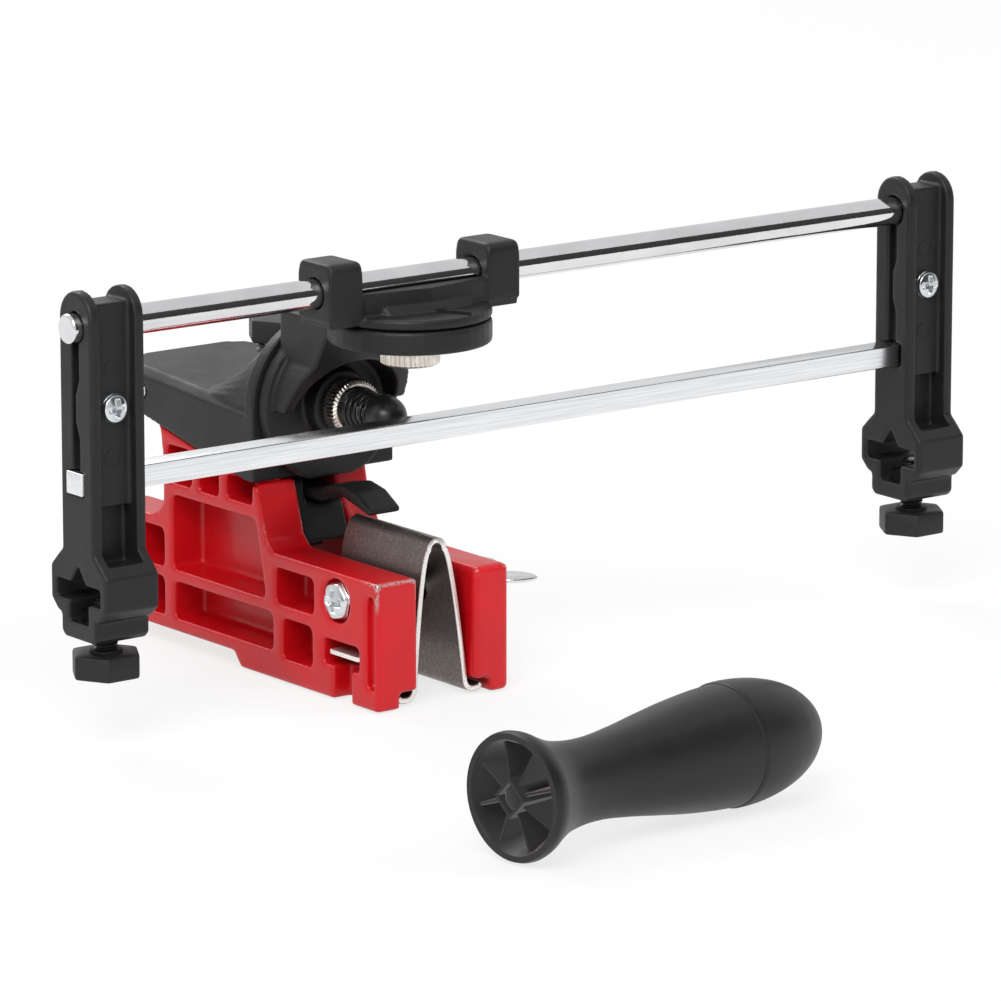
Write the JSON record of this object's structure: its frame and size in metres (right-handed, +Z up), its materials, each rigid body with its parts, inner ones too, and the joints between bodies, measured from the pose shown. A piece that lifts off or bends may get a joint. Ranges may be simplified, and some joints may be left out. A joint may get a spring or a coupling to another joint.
{
  "type": "bar mounted chainsaw sharpener",
  "caption": "Clamp-on chainsaw filing guide: jaws grip the saw bar, a hinged arm carries a tilting, swivelling guide for a sliding file frame, with a loose file handle.",
  "frame": {"origin": "middle of the bar stop face, the flat underside of the block between the two jaws", "axes": "+X along the guide rod towards the long end of the file frame, +Z up, -Y towards the file frame"},
  "size_m": [0.227, 0.2174, 0.0928],
  "materials": {
    "red_paint": "gloss enamel over die casting",
    "black_nylon": "fine satin grain",
    "black_rubber": "smooth satin",
    "chrome": "polished plate",
    "bright_steel": "bright, lightly brushed",
    "nickel": "warm nickel plate, straight knurl",
    "zinc": "bright zinc plate",
    "spring_steel": "oil-blued sheet with bright edges",
    "black_wire": "black oxide spring wire",
    "handle_plastic": "satin moulding"
  },
  "bodies": {
    "clamp": {"left_jaw": "red_paint", "spreader_spring": "spring_steel", "front_clamp_bolt": "zinc", "rear_clamp_bolt": "zinc", "bar_stop_block": "black_nylon", "pawl_pin": "zinc", "hinge_pin": "zinc"},
    "right_jaw": {"right_jaw": "red_paint"},
    "front_wing_nut": {"front_wing_nut": "chrome"},
    "rear_wing_nut": {"rear_wing_nut": "chrome"},
    "pawl": {"chain_pawl": "black_nylon"},
    "arm": {"swing_arm": "black_nylon", "height_nut": "zinc", "height_spring": "black_wire"},
    "height_screw": {"height_screw": "zinc"},
    "height_knob": {"height_knob": "black_nylon"},
    "head": {"angle_bracket": "black_nylon", "tilt_bolt": "zinc", "bumper_spring": "black_wire"},
    "tilt_lock_nut": {"tilt_lock_nut": "nickel"},
    "bumper": {"bumper_cap": "black_rubber"},
    "carriage": {"guide_carriage": "black_nylon", "swivel_bolt": "zinc"},
    "swivel_lock_nut": {"swivel_lock_nut": "nickel"},
    "rod": {"guide_rod": "chrome"},
    "file_frame": {"left_post": "black_nylon", "right_post": "black_nylon", "lower_bar": "bright_steel", "left_post_screw": "zinc", "right_post_screw": "zinc", "left_post_nut": "zinc", "right_post_nut": "zinc", "left_file_nut": "zinc", "right_file_nut": "zinc"},
    "left_file_screw": {"left_file_screw": "zinc"},
    "left_file_knob": {"left_file_knob": "black_nylon"},
    "right_file_screw": {"right_file_screw": "zinc"},
    "right_file_knob": {"right_file_knob": "black_nylon"},
    "handle": {"file_handle": "handle_plastic", "handle_end_cap": "handle_plastic"}
  },
  "joints": [
    {"name": "jaw_close", "type": "slide", "parent": "clamp", "child": "right_jaw", "axis": [-1, 0, 0], "range_m": [0, 0.0015], "stiffness_N_per_m": 1500, "deforming": ["spreader_spring"]},
    {"name": "front_wing_turn", "type": "hinge", "parent": "right_jaw", "child": "front_wing_nut", "pos_m": [0.0164, -0.0494, -0.0023], "axis": [-1, 0, 0], "range_deg": [0, 676]},
    {"name": "rear_wing_turn", "type": "hinge", "parent": "right_jaw", "child": "rear_wing_nut", "pos_m": [0.0164, 0.02654, -0.0023], "axis": [-1, 0, 0], "range_deg": [0, 676]},
    {"name": "pawl_lift", "type": "hinge", "parent": "clamp", "child": "pawl", "pos_m": [0, -0.0085, 0.014], "axis": [-1, 0, 0], "range_deg": [0, 4]},
    {"name": "arm_swing", "type": "hinge", "parent": "clamp", "child": "arm", "pos_m": [0, 0.01903, 0.0301], "axis": [-1, 0, 0], "range_deg": [0, 60]},
    {"name": "height_travel", "type": "slide", "parent": "arm", "child": "height_screw", "axis": [0, 0, 1], "range_m": [0, 0.003], "deforming": ["height_spring"]},
    {"name": "height_knob_turn", "type": "hinge", "parent": "height_screw", "child": "height_knob", "pos_m": [0, -0.0065, 0.043], "axis": [0, 0, 1], "range_deg": [0, 1351]},
    {"name": "head_tilt", "type": "hinge", "parent": "arm", "child": "head", "pos_m": [0, -0.0215, 0.0327], "axis": [0, 1, 0], "range_deg": [-15, 15]},
    {"name": "tilt_nut_turn", "type": "hinge", "parent": "head", "child": "tilt_lock_nut", "pos_m": [0, -0.0335, 0.0327], "axis": [0, 1, 0], "continuous": true},
    {"name": "bumper_press", "type": "slide", "parent": "head", "child": "bumper", "axis": [0, 1, 0], "range_m": [0, 0.0025], "stiffness_N_per_m": 300, "deforming": ["bumper_spring"]},
    {"name": "guide_swivel", "type": "hinge", "parent": "head", "child": "carriage", "pos_m": [0, -0.0515, 0.0549], "axis": [0, 0, 1], "range_deg": [-30, 30]},
    {"name": "swivel_nut_turn", "type": "hinge", "parent": "carriage", "child": "swivel_lock_nut", "pos_m": [0, -0.0515, 0.0475], "axis": [0, 0, 1], "continuous": true},
    {"name": "file_stroke", "type": "slide", "parent": "carriage", "child": "rod", "axis": [1, 0, 0], "range_m": [-0.075, 0.03]},
    {"name": "frame_swing", "type": "hinge", "parent": "rod", "child": "file_frame", "pos_m": [0.0298, -0.0515, 0.0625], "axis": [-1, 0, 0], "range_deg": [0, 95]},
    {"name": "left_file_screw_travel", "type": "slide", "parent": "file_frame", "child": "left_file_screw", "axis": [0, 0, 1], "range_m": [-0.002, 0.002]},
    {"name": "left_file_knob_turn", "type": "hinge", "parent": "left_file_screw", "child": "left_file_knob", "pos_m": [-0.0752, -0.0515, -0.0035], "axis": [0, 0, 1], "range_deg": [-901, 901]},
    {"name": "right_file_screw_travel", "type": "slide", "parent": "file_frame", "child": "right_file_screw", "axis": [0, 0, 1], "range_m": [-0.002, 0.002]},
    {"name": "right_file_knob_turn", "type": "hinge", "parent": "right_file_screw", "child": "right_file_knob", "pos_m": [0.1348, -0.0515, -0.0035], "axis": [0, 0, 1], "range_deg": [-901, 901]},
    {"name": "handle_lift", "type": "slide", "parent": "clamp", "child": "handle", "axis": [0, 0, 1], "range_m": [0, 0.1]}
  ],
  "couplings": [
    {"joint": "front_wing_turn", "follows": "jaw_close", "rad_per_m": 7854},
    {"joint": "rear_wing_turn", "follows": "jaw_close", "rad_per_m": 7854},
    {"joint": "height_knob_turn", "follows": "height_travel", "rad_per_m": 7854},
    {"joint": "left_file_knob_turn", "follows": "left_file_screw_travel", "rad_per_m": 7854},
    {"joint": "right_file_knob_turn", "follows": "right_file_screw_travel", "rad_per_m": 7854}
  ]
}
